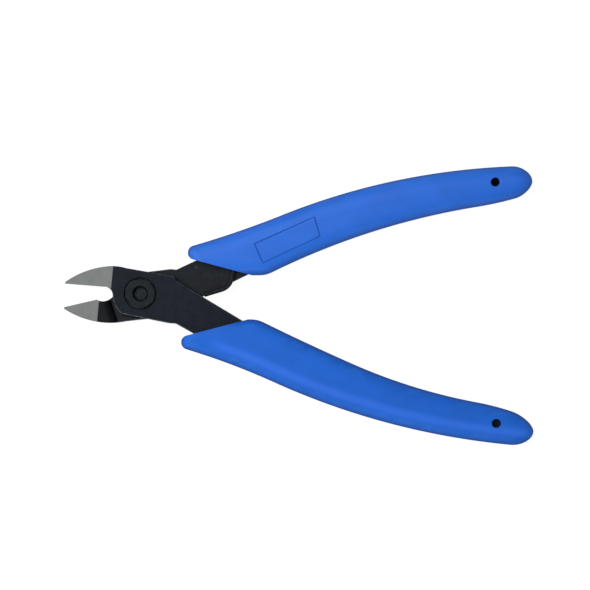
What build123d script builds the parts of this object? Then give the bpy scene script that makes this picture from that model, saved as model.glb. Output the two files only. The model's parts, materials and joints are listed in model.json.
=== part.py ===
from build123d import *
import math
import os

# Sprue nippers: two stamped steel levers, lapped on one pivot screw, in moulded
# rubber grips, with a wire return spring. Sizes are millimetres and degrees.
# Plans are drawn about the pivot with the nippers open at rest: -X is towards the
# blade tips, +X towards the handle ends and +Z out of the flush side of the blades.

os.makedirs("parts", exist_ok=True)

# Levers: the front one has the upper blade, the rear one the lower blade
PLATE = 3.2
LAP_GAP = 0.05
OPEN_ANGLE = 17.5
EDGE_BREAK = 0.25
LEVEL_TOLERANCE = 0.01
HUB_R = 8.75

# Cutting edges, each a straight line in plan that passes beside the pivot
FRONT_EDGE_ANGLE = 175.5
EDGE_OFFSET = 1.26
TIP_REACH = 24.1
TIP_STEP = 0.5
TIP_BLUNT = 0.55
FRONT_HEEL_OUT = 2.85
REAR_HEEL_OUT = 5.15
EDGE_WEDGE = 45.0
BEVEL_RUNOUT = 1.0

# Flush faces of both blades, ground together on one sloping plane
FLUSH_ANGLE = 174.5
FLUSH_OUT = 0.6
FLUSH_SLOPE = 7.0

# Joggle that brings the rear blade forward, level with the front one
JOGGLE_ANGLE = 198.0
JOGGLE_OUT = 0.9
JOGGLE_RISE = 2.8
BACK_FOOT_OUT = 0.85
BACK_RAMP = 4.0
BACK_TIP_RISE = 0.45

# Front lever in plan
FRONT_BELLY = (-17.2, 7.19)
FRONT_CREST = (-10.0, 8.72)
FRONT_SHOULDER = (-4.46, 8.11)
FRONT_CORNER = (10.1, 5.62)
FRONT_CORNER_END = (11.15, 4.45)
FRONT_NOTCH_END = (12.7, 3.25)
FRONT_HUB_FROM = 182.0
FRONT_HUB_TO = 226.0
FRONT_KINK = (9.0, -9.42)
FRONT_KINK_END = (11.3, -9.55)

# Rear lever in plan
REAR_BELLY = (-17.2, -8.14)
REAR_CREST = (-9.8, -9.31)
REAR_SHOULDER = (-4.46, -8.83)
REAR_CORNER = (9.3, -7.3)
REAR_CORNER_END = (10.7, -6.0)
REAR_NOTCH_END = (12.4, -4.6)
REAR_THROAT_OUT = 2.9
REAR_THROAT_ANGLE = 192.0
REAR_HUB_FROM = 184.9
REAR_HUB_TO = 138.0
REAR_KINK = (9.6, 7.83)
REAR_KINK_END = (11.4, 7.62)
DIMPLE_AT = (17.6, 8.35)
DIMPLE_D = 1.0
DIMPLE_DEPTH = 0.3

# Tangs, along the middle of each grip: root, middle and end
TANG_WIDTHS = (11.0, 8.4, 6.4)
FRONT_TANG = ((36.0, -17.1), (77.1, -33.5), (115.3, -42.3))
REAR_TANG = ((38.0, 14.0), (77.1, 27.9), (115.3, 34.8))
TANG_NOSE = 2.6

# Grips, each with its own outline: nose at the mouth, heel on the palm side, rounded end
GRIP_H = 10.4
GRIP_ROUND = 3.2
GRIP_FIT = 0.05
MOUTH_BREAK = 0.4
NOSE_TURN_R = 2.0
NOSE_R = 3.3
END_OUTER_R = 4.5
END_INNER_R = 5.6
HEEL_R = 9.0
HANG_HOLE_D = 2.8
UPPER_GRIP = dict(
    side=1,
    nose=(17.63, 15.53),
    outer=((86.6, 37.05), (45.55, 25.2)),
    outer_aim=2.2,
    end=(124.63, 36.1),
    inner=((107.2, 27.6),),
    inner_aim=17.0,
    heel=(40.0, 5.8),
    mouth=((14.4, 14.5), (16.2, 10.95), (37.4, 5.3)),
    hole=(112.75, 35.4),
)
LOWER_GRIP = dict(
    side=-1,
    nose=(15.37, -18.02),
    outer=((88.4, -43.55), (42.6, -28.3)),
    outer_aim=-5.4,
    end=(125.0, -43.9),
    inner=((107.0, -34.6), (67.6, -22.4)),
    inner_aim=-20.8,
    heel=(37.3, -8.2),
    mouth=((12.4, -16.9), (14.2, -13.45), (37.0, -7.5)),
    hole=(113.1, -41.2),
)

# Pivot: a shouldered socket screw, a thrust washer and a round slotted nut
HEAD_D = 9.5
HEAD_T = 1.5
HEAD_CHAMFER = 0.25
HEAD_RING_GAP = 0.45
COUNTERBORE_DEPTH = 1.4
WASHER_T = 0.2
WASHER_SIDE_GAP = 0.1
SHOULDER_D = 6.0
SHOULDER_SEAT = 0.8
THREAD_D = 4.0
PIVOT_FIT = 0.03
SEAT_FIT = 0.02
SOCKET_FLATS = 4.0
SOCKET_MOUTH_D = 5.0
SOCKET_MOUTH_DEPTH = 0.35
SOCKET_DEPTH = 1.9
NUT_D = 8.4
NUT_T = 1.5
NUT_RECESS = 0.1
NUT_SLOT_W = 1.2
NUT_SLOT_DEPTH = 0.6

# Return spring: a bent wire, hooked round a pin in the rear tang
WIRE_D = 1.5
WIRE_GAP = 0.05
WIRE_TOUCH_X = 19.9
WIRE_BEND = (28.5, 2.1)
WIRE_TURN = (30.0, 10.2)
WIRE_RADII = (4.5, 4.0)
WIRE_HOOK_ANGLE = 110.0
WIRE_SLOT_GAP = 0.15
SPRING_PIN_D = 2.0
SPRING_PIN_AT = (52.0, 20.4)

# Undersides of the levers, and the rear blade turned open from the front one
REAR_TIP_REACH = TIP_REACH + TIP_STEP
FRONT_HEEL_REACH = HUB_R + FRONT_HEEL_OUT
REAR_HEEL_REACH = HUB_R + REAR_HEEL_OUT
FLUSH_START = HUB_R + FLUSH_OUT
JOGGLE_FOOT = HUB_R + JOGGLE_OUT
REAR_Z = (GRIP_H - LAP_GAP) / 2 - PLATE
FRONT_Z = (GRIP_H + LAP_GAP) / 2
REAR_EDGE_ANGLE = FRONT_EDGE_ANGLE + OPEN_ANGLE

# Length of cuts that run right through
REACH = 200.0


def polar(radius, angle):
    return Vector(radius, 0).rotate(Axis.Z, angle)


def edge_point(angle, reach):
    """A point of a cutting edge in plan, at a reach from the pivot along the edge."""
    return polar(reach, angle) + polar(EDGE_OFFSET, angle - 90)


def flush_height(point):
    """Height of the ground flush plane over a point of the plan."""
    along = Vector(point).dot(polar(1, FLUSH_ANGLE))
    fall = math.tan(math.radians(FLUSH_SLOPE))
    return FRONT_Z + PLATE - (along - FLUSH_START) * fall


def tang_sides(middle, side):
    """Root, middle and end points of one side of a tang; side is 1 left or -1 right."""
    line = ThreePointArc(*middle)
    stations = (0.0, 0.5, 1.0)
    points = []
    for station, width in zip(stations, TANG_WIDTHS):
        normal = line.tangent_at(station).rotate(Axis.Z, 90 * side)
        points.append(line.position_at(station) + normal * (width / 2))
    return points


def tang_end(middle):
    """The point of a tang's rounded nose on its centre line."""
    line = ThreePointArc(*middle)
    return line.position_at(1.0) + line.tangent_at(1.0) * TANG_NOSE


def front_outline():
    """The front lever in plan: upper blade, hub and lower handle's tang."""
    left = tang_sides(FRONT_TANG, 1)
    right = tang_sides(FRONT_TANG, -1)
    tip = edge_point(FRONT_EDGE_ANGLE, TIP_REACH)
    blunt = tip + Vector(0, TIP_BLUNT)
    heel = edge_point(FRONT_EDGE_ANGLE, FRONT_HEEL_REACH)
    hub_from = polar(HUB_R, FRONT_HUB_FROM)
    hub_middle = polar(HUB_R, (FRONT_HUB_FROM + FRONT_HUB_TO) / 2)
    hub_to = polar(HUB_R, FRONT_HUB_TO)
    hub = ThreePointArc(hub_to, hub_middle, hub_from)
    back = ThreePointArc(blunt, FRONT_BELLY, FRONT_CREST)
    nape = TangentArc(FRONT_CREST, FRONT_SHOULDER, tangent=back % 1)
    neck = Line(FRONT_SHOULDER, FRONT_CORNER)
    inner = Line(FRONT_NOTCH_END, left[0])
    return make_face(
        [
            Line(tip, blunt),
            back,
            nape,
            neck,
            TangentArc(FRONT_CORNER, FRONT_CORNER_END, tangent=neck % 1),
            TangentArc(FRONT_NOTCH_END, FRONT_CORNER_END, tangent=-(inner % 0)),
            inner,
            ThreePointArc(*left),
            ThreePointArc(left[2], tang_end(FRONT_TANG), right[2]),
            ThreePointArc(right[2], right[1], right[0]),
            Line(right[0], FRONT_KINK_END),
            Line(FRONT_KINK_END, FRONT_KINK),
            Line(FRONT_KINK, hub_to),
            hub,
            TangentArc(hub_from, heel, tangent=hub % 1),
            Line(heel, tip),
        ]
    )


def rear_outline():
    """The rear lever in plan: lower blade, hub and upper handle's tang."""
    left = tang_sides(REAR_TANG, 1)
    right = tang_sides(REAR_TANG, -1)
    tip = edge_point(REAR_EDGE_ANGLE, REAR_TIP_REACH)
    blunt = tip - Vector(0, TIP_BLUNT)
    heel = edge_point(REAR_EDGE_ANGLE, REAR_HEEL_REACH)
    hub_from = polar(HUB_R, REAR_HUB_FROM)
    hub_middle = polar(HUB_R, (REAR_HUB_FROM + REAR_HUB_TO) / 2)
    hub_to = polar(HUB_R, REAR_HUB_TO)
    throat = polar(HUB_R + REAR_THROAT_OUT, REAR_THROAT_ANGLE)
    back = ThreePointArc(blunt, REAR_BELLY, REAR_CREST)
    nape = TangentArc(REAR_CREST, REAR_SHOULDER, tangent=back % 1)
    neck = Line(REAR_SHOULDER, REAR_CORNER)
    inner = Line(REAR_NOTCH_END, right[0])
    return make_face(
        [
            Line(tip, blunt),
            back,
            nape,
            neck,
            TangentArc(REAR_CORNER, REAR_CORNER_END, tangent=neck % 1),
            TangentArc(REAR_NOTCH_END, REAR_CORNER_END, tangent=-(inner % 0)),
            inner,
            ThreePointArc(*right),
            ThreePointArc(right[2], tang_end(REAR_TANG), left[2]),
            ThreePointArc(left[2], left[1], left[0]),
            Line(left[0], REAR_KINK_END),
            Line(REAR_KINK_END, REAR_KINK),
            Line(REAR_KINK, hub_to),
            ThreePointArc(hub_to, hub_middle, hub_from),
            ThreePointArc(hub_from, throat, heel),
            Line(heel, tip),
        ]
    )


def above_flush_plane():
    """Everything in front of the ground flush plane, to be cut away."""
    start = polar(FLUSH_START, FLUSH_ANGLE)
    normal = Vector(0, 0, 1).rotate(Axis((0, 0, 0), polar(1, FLUSH_ANGLE - 90)), -FLUSH_SLOPE)
    plane = Plane(
        origin=(start.X, start.Y, FRONT_Z + PLATE),
        x_dir=polar(1, FLUSH_ANGLE + 90),
        z_dir=normal,
    )
    return plane * Box(REACH, REACH, REACH, align=(Align.CENTER, Align.CENTER, Align.MIN))


def below_bevel(angle, tip_reach, heel_reach, side):
    """Wedge ground off behind a cutting edge; side is 1 for the upper blade, -1 for the lower."""
    heel = edge_point(angle, heel_reach - BEVEL_RUNOUT)
    tip = edge_point(angle, tip_reach + BEVEL_RUNOUT)
    start = Vector(heel.X, heel.Y, flush_height(heel))
    stop = Vector(tip.X, tip.Y, flush_height(tip))
    plane = Plane(origin=start, x_dir=polar(1, angle - 90 * side), z_dir=stop - start)
    depth = 2 * PLATE
    width = depth / math.tan(math.radians(EDGE_WEDGE))
    down = depth * side
    wedge = make_face(Polyline((-width, -down), (-width, down), (width, down), close=True))
    return extrude(plane * wedge, amount=(stop - start).length)


def break_edges(lever, level, crest):
    """Chamfer the stamped rim at one level, from behind the blade to inside the grip."""
    rim = []
    start = max(-HUB_R - LEVEL_TOLERANCE, crest[0] + LEVEL_TOLERANCE)
    for edge in lever.edges():
        span = edge.bounding_box()
        flat = abs(span.min.Z - level) + abs(span.max.Z - level) < LEVEL_TOLERANCE
        if flat and span.min.X > start and span.max.X < FRONT_TANG[1][0]:
            rim.append(edge)
    return chamfer(rim, EDGE_BREAK)


def front_lever():
    """Flat lever with the counterbore for the screw head."""
    lever = extrude(front_outline(), amount=PLATE)
    lever = Pos(0, 0, FRONT_Z) * lever
    lever = break_edges(lever, FRONT_Z + PLATE, FRONT_CREST)
    lever -= above_flush_plane()
    lever -= below_bevel(FRONT_EDGE_ANGLE, TIP_REACH, FRONT_HEEL_REACH, 1)
    lever -= Pos(0, 0, FRONT_Z) * Cylinder(
        SHOULDER_D / 2 + PIVOT_FIT, REACH, align=(Align.CENTER, Align.CENTER, Align.CENTER)
    )
    lever -= Pos(0, 0, FRONT_Z + PLATE - COUNTERBORE_DEPTH) * Cylinder(
        HEAD_D / 2 + HEAD_RING_GAP, REACH, align=(Align.CENTER, Align.CENTER, Align.MIN)
    )
    return lever


def rear_side_profile():
    """Side view of the rear lever along the joggle: run from the pivot, then height."""
    top = REAR_Z + PLATE
    back_foot = (JOGGLE_FOOT + BACK_FOOT_OUT, REAR_Z)
    back_top = (back_foot[0] + BACK_RAMP, REAR_Z + JOGGLE_RISE)
    back_tip = (REAR_TIP_REACH + BEVEL_RUNOUT, back_top[1] + BACK_TIP_RISE)
    front_tip = (back_tip[0], top + JOGGLE_RISE)
    knee = (JOGGLE_FOOT + JOGGLE_RISE, top + JOGGLE_RISE)
    bow = math.sqrt(0.5) * JOGGLE_RISE
    knee_middle = (knee[0] - bow, top + bow)
    return make_face(
        [
            Line((-REACH, REAR_Z), back_foot),
            Line(back_foot, back_top),
            Line(back_top, back_tip),
            Line(back_tip, front_tip),
            Line(front_tip, knee),
            ThreePointArc(knee, knee_middle, (JOGGLE_FOOT, top)),
            Line((JOGGLE_FOOT, top), (-REACH, top)),
            Line((-REACH, top), (-REACH, REAR_Z)),
        ]
    )


def rear_lever():
    """Lever with its blade joggled forward, the screw's seat and the nut's pocket."""
    side = Plane(origin=(0, 0, 0), x_dir=polar(1, JOGGLE_ANGLE), z_dir=polar(1, JOGGLE_ANGLE - 90))
    lever = extrude(rear_outline(), amount=REACH)
    lever &= extrude(side * rear_side_profile(), amount=REACH, both=True)
    lever = break_edges(lever, REAR_Z + PLATE, REAR_CREST)
    lever -= above_flush_plane()
    lever -= below_bevel(REAR_EDGE_ANGLE, REAR_TIP_REACH, REAR_HEEL_REACH, -1)
    top = REAR_Z + PLATE
    lever -= Pos(0, 0, top - SHOULDER_SEAT) * Cylinder(
        SHOULDER_D / 2 + SEAT_FIT, REACH, align=(Align.CENTER, Align.CENTER, Align.MIN)
    )
    lever -= Cylinder(THREAD_D / 2 + SEAT_FIT, REACH)
    lever -= Pos(0, 0, REAR_Z + NUT_RECESS + NUT_T) * Cylinder(
        NUT_D / 2 + SEAT_FIT, REACH, align=(Align.CENTER, Align.CENTER, Align.MAX)
    )
    lever -= Pos(*DIMPLE_AT, top) * Cone(
        0, DIMPLE_D / 2, DIMPLE_DEPTH, align=(Align.CENTER, Align.CENTER, Align.MAX)
    )
    lever -= Pos(*SPRING_PIN_AT, top) * Cylinder(SPRING_PIN_D / 2 + SEAT_FIT, REACH)
    return lever


def spring_path():
    """Centre line of the wire, from its free end at the front lever to its hook."""
    level = REAR_Z + PLATE + WIRE_GAP + WIRE_D / 2
    root = tang_sides(FRONT_TANG, 1)[0]
    notch = Vector(FRONT_NOTCH_END)
    run = (root - notch).normalized()
    clear = WIRE_D / 2 + WIRE_GAP
    touch = notch + run * ((WIRE_TOUCH_X - notch.X) / run.X) + run.rotate(Axis.Z, 90) * clear
    pin = Vector(SPRING_PIN_AT)
    hook_radius = SPRING_PIN_D / 2 + WIRE_GAP + WIRE_D / 2
    turn = Vector(WIRE_TURN)
    span = (pin - turn).length
    lean = math.degrees(math.asin(hook_radius / span))
    heading = (pin - turn).rotate(Axis.Z, -lean).normalized()
    hook_start = turn + heading * math.sqrt(span**2 - hook_radius**2)
    bends = FilletPolyline(touch, WIRE_BEND, WIRE_TURN, hook_start, radius=list(WIRE_RADII))
    hook = JernArc(hook_start, heading, hook_radius, WIRE_HOOK_ANGLE)
    return Pos(0, 0, level) * Wire(bends.edges() + hook.edges())


def return_spring():
    """The bent wire itself."""
    path = spring_path()
    return sweep(Plane(origin=path @ 0, z_dir=path % 0) * Circle(WIRE_D / 2), path=path)


def spring_pin():
    """Pin through the rear tang that the wire hooks round."""
    height = PLATE + WIRE_GAP + WIRE_D
    return Pos(*SPRING_PIN_AT, REAR_Z) * Cylinder(
        SPRING_PIN_D / 2, height, align=(Align.CENTER, Align.CENTER, Align.MIN)
    )


def tangent_arcs(points, aim):
    """Arcs through points in plan, each tangent to the last; the first sets out at an angle."""
    arcs = []
    heading = polar(1, aim)
    for start, stop in zip(points, points[1:]):
        arcs.append(TangentArc(start, stop, tangent=heading))
        heading = arcs[-1] % 1
    return arcs


def grip_outline(side, nose, outer, outer_aim, end, inner, inner_aim, heel):
    """A grip in plan, carried on past its mouth; side is 1 for the upper grip, -1 for the lower."""
    end_out = Vector(end) - Vector(END_OUTER_R, 0) + polar(END_OUTER_R, outer_aim + 90 * side)
    end_in = Vector(end) - Vector(END_INNER_R, 0) + polar(END_INNER_R, inner_aim - 90 * side)
    back = tangent_arcs([end_out, *outer, nose], outer_aim + 180)
    palm = tangent_arcs([end_in, *inner, heel], inner_aim + 180)
    heading = back[-1] % 1
    nose_back = Vector(nose) + heading.rotate(Axis.Z, 90 * side) * NOSE_R - Vector(NOSE_R, 0)
    skirt = (nose_back.X, heel[1])
    outline = make_face(
        [
            *back,
            TangentArc(nose, nose_back, tangent=heading),
            Line(nose_back, skirt),
            Line(skirt, heel),
            *palm,
            TangentArc(end_in, end, tangent=polar(1, inner_aim)),
            TangentArc(end_out, end, tangent=polar(1, outer_aim)),
        ]
    )
    return fillet(outline.vertices().sort_by_distance(heel)[0], HEEL_R)


def open_mouth(sleeve, side, mouth):
    """Cut a sleeve aslant, round the turn into its nose and break the rim of the cut."""
    nose, turn, back = [Vector(point) for point in mouth]
    away = (back - turn).normalized().rotate(Axis.Z, -90 * side) * REACH
    front = turn + (nose - turn).normalized() * REACH
    opening = make_face(Polyline(front, turn, back, back + away, front + away, close=True))
    opening = fillet(opening.vertices().sort_by_distance(turn)[0], NOSE_TURN_R)
    cutter = extrude(opening, amount=REACH, both=True)
    opened = sleeve - cutter
    return chamfer(new_edges(sleeve, cutter, combined=opened), MOUTH_BREAK)


def grip(side, mouth, hole, lever_outline, lever_z, **outline):
    """A moulded sleeve: rounded all round, its mouth cut aslant, hollow for its tang."""
    sleeve = extrude(grip_outline(side, **outline), amount=GRIP_H)
    rims = sleeve.faces().sort_by(Axis.Z)
    sleeve = fillet(rims[0].edges() + rims[-1].edges(), GRIP_ROUND)
    sleeve = open_mouth(sleeve, side, mouth)
    tang = offset(lever_outline, amount=GRIP_FIT, kind=Kind.ARC)
    sleeve -= Pos(0, 0, lever_z - GRIP_FIT) * extrude(tang, amount=PLATE + 2 * GRIP_FIT)
    sleeve -= Pos(*hole, lever_z + PLATE) * Cylinder(
        HANG_HOLE_D / 2, GRIP_H, align=(Align.CENTER, Align.CENTER, Align.MIN)
    )
    return sleeve


def upper_grip():
    """Grip on the rear lever's tang, with a channel for the spring."""
    sleeve = grip(lever_outline=rear_outline(), lever_z=REAR_Z, **UPPER_GRIP)
    level = REAR_Z + PLATE
    channel_t = WIRE_D + 2 * WIRE_SLOT_GAP
    channel = trace(spring_path(), line_width=channel_t)
    drop = level - channel.bounding_box().min.Z
    sleeve -= Pos(0, 0, drop) * extrude(channel, amount=channel_t)
    sleeve -= Pos(*SPRING_PIN_AT, level) * Cylinder(
        SPRING_PIN_D / 2 + WIRE_SLOT_GAP, channel_t, align=(Align.CENTER, Align.CENTER, Align.MIN)
    )
    return sleeve


def lower_grip():
    """Grip on the front lever's tang."""
    return grip(lever_outline=front_outline(), lever_z=FRONT_Z, **LOWER_GRIP)


def pivot_screw():
    """Shouldered screw with a low round head and a hexagon socket."""
    under_head = FRONT_Z + PLATE - COUNTERBORE_DEPTH + WASHER_T
    shoulder_end = REAR_Z + PLATE - SHOULDER_SEAT
    thread_end = REAR_Z + NUT_RECESS
    base = (Align.CENTER, Align.CENTER, Align.MIN)
    head = Cylinder(HEAD_D / 2, HEAD_T, align=base)
    head = chamfer(head.faces().sort_by(Axis.Z)[-1].edges(), HEAD_CHAMFER)
    screw = Pos(0, 0, under_head) * head
    screw += Pos(0, 0, shoulder_end) * Cylinder(SHOULDER_D / 2, under_head - shoulder_end, align=base)
    screw += Pos(0, 0, thread_end) * Cylinder(THREAD_D / 2, shoulder_end - thread_end, align=base)
    top = under_head + HEAD_T
    corner = SOCKET_FLATS / math.sqrt(3)
    screw -= Pos(0, 0, top) * extrude(RegularPolygon(corner, 6), amount=-SOCKET_DEPTH)
    screw -= Pos(0, 0, top) * Cone(
        SOCKET_MOUTH_D / 2 - SOCKET_MOUTH_DEPTH,
        SOCKET_MOUTH_D / 2,
        SOCKET_MOUTH_DEPTH,
        align=(Align.CENTER, Align.CENTER, Align.MAX),
    )
    return screw


def thrust_washer():
    """Thin washer under the screw head."""
    base = (Align.CENTER, Align.CENTER, Align.MIN)
    ring = Cylinder(HEAD_D / 2 - WASHER_SIDE_GAP, WASHER_T, align=base)
    ring -= Cylinder(SHOULDER_D / 2 + WASHER_SIDE_GAP, WASHER_T, align=base)
    return Pos(0, 0, FRONT_Z + PLATE - COUNTERBORE_DEPTH) * ring


def pivot_nut():
    """Round nut sunk in the rear lever's back, slotted for a driver."""
    base = (Align.CENTER, Align.CENTER, Align.MIN)
    nut = Cylinder(NUT_D / 2, NUT_T, align=base)
    nut -= Cylinder(THREAD_D / 2 + SEAT_FIT, REACH)
    nut -= Box(REACH, NUT_SLOT_W, 2 * NUT_SLOT_DEPTH)
    return Pos(0, 0, REAR_Z + NUT_RECESS) * nut


PIECES = {
    "front_lever": front_lever,
    "rear_lever": rear_lever,
    "pivot_screw": pivot_screw,
    "thrust_washer": thrust_washer,
    "pivot_nut": pivot_nut,
    "return_spring": return_spring,
    "spring_pin": spring_pin,
    "upper_grip": upper_grip,
    "lower_grip": lower_grip,
}

solids = {name: make() for name, make in PIECES.items()}
box = Compound(list(solids.values())).bounding_box()
base_centre = Vector(box.center().X, box.center().Y, box.min.Z)
print("pivot at", -base_centre, "size", box.size)
for name, solid in solids.items():
    export_step(Pos(-base_centre) * solid, f"parts/{name}.step")
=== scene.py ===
"""Hand nippers with lapped steel levers, a return spring and long moulded grips.

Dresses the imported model: blackened steel with ground blades on its levers, finishes for the
pivot set, a round wire spring and two soft moulded grips.
"""

import json
import math

import bmesh
import bpy
import numpy as np
from bpy.props import FloatProperty, FloatVectorProperty, IntProperty, PointerProperty
from mathutils import Matrix, Vector


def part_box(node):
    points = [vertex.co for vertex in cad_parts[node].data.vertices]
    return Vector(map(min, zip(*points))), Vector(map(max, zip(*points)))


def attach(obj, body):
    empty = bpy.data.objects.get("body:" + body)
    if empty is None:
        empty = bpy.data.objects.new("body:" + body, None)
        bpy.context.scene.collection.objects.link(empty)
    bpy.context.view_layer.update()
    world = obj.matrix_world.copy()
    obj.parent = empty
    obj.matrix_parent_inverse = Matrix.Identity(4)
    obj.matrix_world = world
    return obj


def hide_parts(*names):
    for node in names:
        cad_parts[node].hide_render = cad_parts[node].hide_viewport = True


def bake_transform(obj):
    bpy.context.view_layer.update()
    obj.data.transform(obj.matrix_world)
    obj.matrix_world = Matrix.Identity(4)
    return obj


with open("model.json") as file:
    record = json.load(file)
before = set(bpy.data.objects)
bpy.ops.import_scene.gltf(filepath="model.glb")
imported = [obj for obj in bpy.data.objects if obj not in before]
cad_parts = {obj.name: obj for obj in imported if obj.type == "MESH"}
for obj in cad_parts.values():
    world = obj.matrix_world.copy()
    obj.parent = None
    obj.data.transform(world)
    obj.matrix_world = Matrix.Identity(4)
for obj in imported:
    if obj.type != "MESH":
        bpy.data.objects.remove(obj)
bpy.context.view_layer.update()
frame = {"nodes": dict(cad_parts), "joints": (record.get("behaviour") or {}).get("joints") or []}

bl_info = {
    "name": "Flush nippers",
    "version": (1, 0, 0),
    "blender": (4, 5, 0),
    "location": "3D View > Sidebar > Nippers",
    "description": "Finishes, spring and moulded grips for a pair of flush-cutting hand nippers",
    "category": "Object",
}

# Plan measures below are millimetres from the pivot, heights are millimetres above the table.
MM = 0.001
PIVOT = Vector(frame["joints"][0]["pos_m"])
PIVOT_PLAN = Vector((PIVOT.x, PIVOT.y, 0)) / MM
FRONT_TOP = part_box("front_lever")[1].z / MM
REAR_TOP = 5.175
HEAD_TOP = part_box("pivot_screw")[1].z / MM
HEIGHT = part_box("upper_grip")[1].z / MM

# Ground faces: the direction in which the flush plane falls, where it starts, and its slope
FLUSH_ANGLE = math.radians(174.5)
FLUSH_START = 9.35
FLUSH_SLOPE = math.tan(math.radians(7))

# Cutting edges: their directions, how far their lines pass from the pivot, and where they start
FRONT_EDGE = math.radians(175.5)
REAR_EDGE = math.radians(193)
EDGE_OFFSET = 1.26
EDGE_START = 10.5

# How near to its plane a point counts as on a ground face, and the band under a top face in which
# its broken edge lies
FLUSH_NEAR = 0.03
BEVEL_NEAR = 0.06
BROKEN_EDGE = (0.24, 0.01)

# Screw head: the radii of the socket's floor, of its mouth and of where the rim begins, and how far
# down the socket's walls and its floor reach
FLOOR_R = 1.72
MOUTH_R = 2.48
HEAD_RIM_R = 3.5
WALL_DEPTH = 1.0
FLOOR_DEPTH = 2.5

# Grips in plan: arcs from the end to the nose and to the heel, how far from the end its rounding
# starts on either side, the back of the mouth, the blind hole and its floor, and the corners of the
# field that a pressed line frames. Then the finish: a painted light level on the blue (the lower
# grip painted in shade), the strength of a painted sheen band beside the outer side, and gloss
UPPER = dict(
    side=1,
    nose=(16.75, 15.27),
    outer=((86.6, 37.05), (45.55, 25.2)),
    outer_aim=2.2,
    end=(124.75, 35.7),
    end_outer=(-6.6, 4.83),
    end_palm=(-5.4, -5.42),
    palm=((107.2, 27.6),),
    palm_aim=15.7,
    heel=(40.0, 5.8),
    mouth=(37.4, 5.3),
    hole=(112.75, 35.4),
    floor=REAR_TOP,
    panel=((35.95, 15.97), (55.6, 24.8), (57.57, 18.0), (38.87, 9.25)),
    painted_light=1.03,
    painted_sheen=0.25,
    gloss=0.33,
)
LOWER = dict(
    side=-1,
    nose=(14.6, -17.76),
    outer=((88.4, -43.55), (42.6, -28.3)),
    outer_aim=-5.4,
    end=(125.1, -43.85),
    end_outer=(-7.4, -4.31),
    end_palm=(-7.0, 6.4),
    palm=((107.0, -34.6), (67.6, -22.4)),
    palm_aim=-18.2,
    heel=(37.3, -8.2),
    mouth=(37.0, -7.5),
    hole=(113.1, -41.2),
    floor=FRONT_TOP,
    panel=(),
    painted_light=0.93,
    painted_sheen=0.8,
    gloss=0.15,
)
NOSE_R = 2.3
HEEL_R = 9.0
END_FULLNESS = 0.6

# Parts of a grip's length between which its sections are spaced evenly; they stand closer outside
EVEN_FROM = 0.06
EVEN_TO = 0.93

# Room between a grip and what it holds, the hole's rounded rim, how far a line's cutter stands
# clear of the grip, and the least angle of a crease
TANG_GAP = 0.05
WIRE_GAP = 0.15
HOLE_RIM = 0.3
CLEAR = 0.1
CREASE = math.radians(38)

# Points nearer to each other than this are one
MERGE = 1e-4

# Spring wire: where it bears on the front lever, how it sets out, its runs and bends, and the
# rounding of its ends
WIRE_START = (20.311, -0.377)
WIRE_LEVEL = 5.975
WIRE_AIM = math.radians(16.83)
WIRE_MOVES = (
    ("run", 5.815),
    ("bend", 4.5, 62.68),
    ("run", 3.24),
    ("bend", 4.0, -58.90),
    ("run", 21.925),
    ("bend", 1.8, 110.0),
)
WIRE_BREAK = 0.18

SENSOR = 36.0

# Where each light hangs, its shape and its two sizes, all in metres
LIGHTS = {
    "key": ((-0.2, 0.1, 0.42), "DISK", 0.3, 0.3),
    "strip": ((-0.1, -0.45, 0.25), "RECTANGLE", 0.4, 0.2),
}

# The table: half its side, and how far it lies under the grips so that the two faces stay apart
TABLE_REACH = 3000.0
TABLE_GAP = 0.02


# Shader expressions


class Output:
    """A node's output that can be worked with in Python expressions."""

    def __init__(self, finish, socket):
        self.finish = finish
        self.socket = socket

    def __add__(self, other):
        return self.finish.math("ADD", self, other)

    def __sub__(self, other):
        return self.finish.math("SUBTRACT", self, other)

    def __rsub__(self, other):
        return self.finish.math("SUBTRACT", other, self)

    def __mul__(self, other):
        return self.finish.math("MULTIPLY", self, other)

    def __gt__(self, other):
        return self.finish.math("GREATER_THAN", self, other)

    def __lt__(self, other):
        return self.finish.math("LESS_THAN", self, other)

    def __abs__(self):
        return self.finish.math("ABSOLUTE", self)

    __radd__ = __add__
    __rmul__ = __mul__


def found(sockets, key):
    """A socket by its identifier, or by its name with underscores for spaces."""
    matches = [socket for socket in sockets if socket.identifier == key]
    return matches[0] if matches else sockets[key.replace("_", " ")]


class Nodes:
    """A node tree under construction."""

    def __init__(self, tree):
        self.tree = tree
        self.tree.nodes.clear()

    def node(self, kind, settings=None, **inputs):
        """Adds a node, sets it up, feeds its sockets, and returns what picks one of its outputs."""
        made = self.tree.nodes.new("ShaderNode" + kind)
        for key, value in (settings or {}).items():
            setattr(made, key, value)
        for key, value in inputs.items():
            socket = found(made.inputs, key)
            if isinstance(value, Output):
                self.tree.links.new(value.socket, socket)
            else:
                socket.default_value = value
        return lambda key: Output(self, found(made.outputs, key))

    def math(self, operation, a, b=None):
        inputs = {"Value": a} if b is None else {"Value": a, "Value_001": b}
        return self.node("Math", {"operation": operation}, **inputs)("Value")

    def mix(self, factor, a, b):
        """A colour from a to b."""
        a, b = (colour if isinstance(colour, Output) else (*colour, 1) for colour in (a, b))
        mixed = self.node("Mix", {"data_type": "RGBA"}, Factor_Float=factor, A_Color=a, B_Color=b)
        return mixed("Result_Color")

    def step(self, value, low, high):
        """0 below low, 1 above high, eased between."""
        eased = {"interpolation_type": "SMOOTHSTEP"}
        return self.node("MapRange", eased, Value=value, From_Min=low, From_Max=high)("Result")


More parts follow.
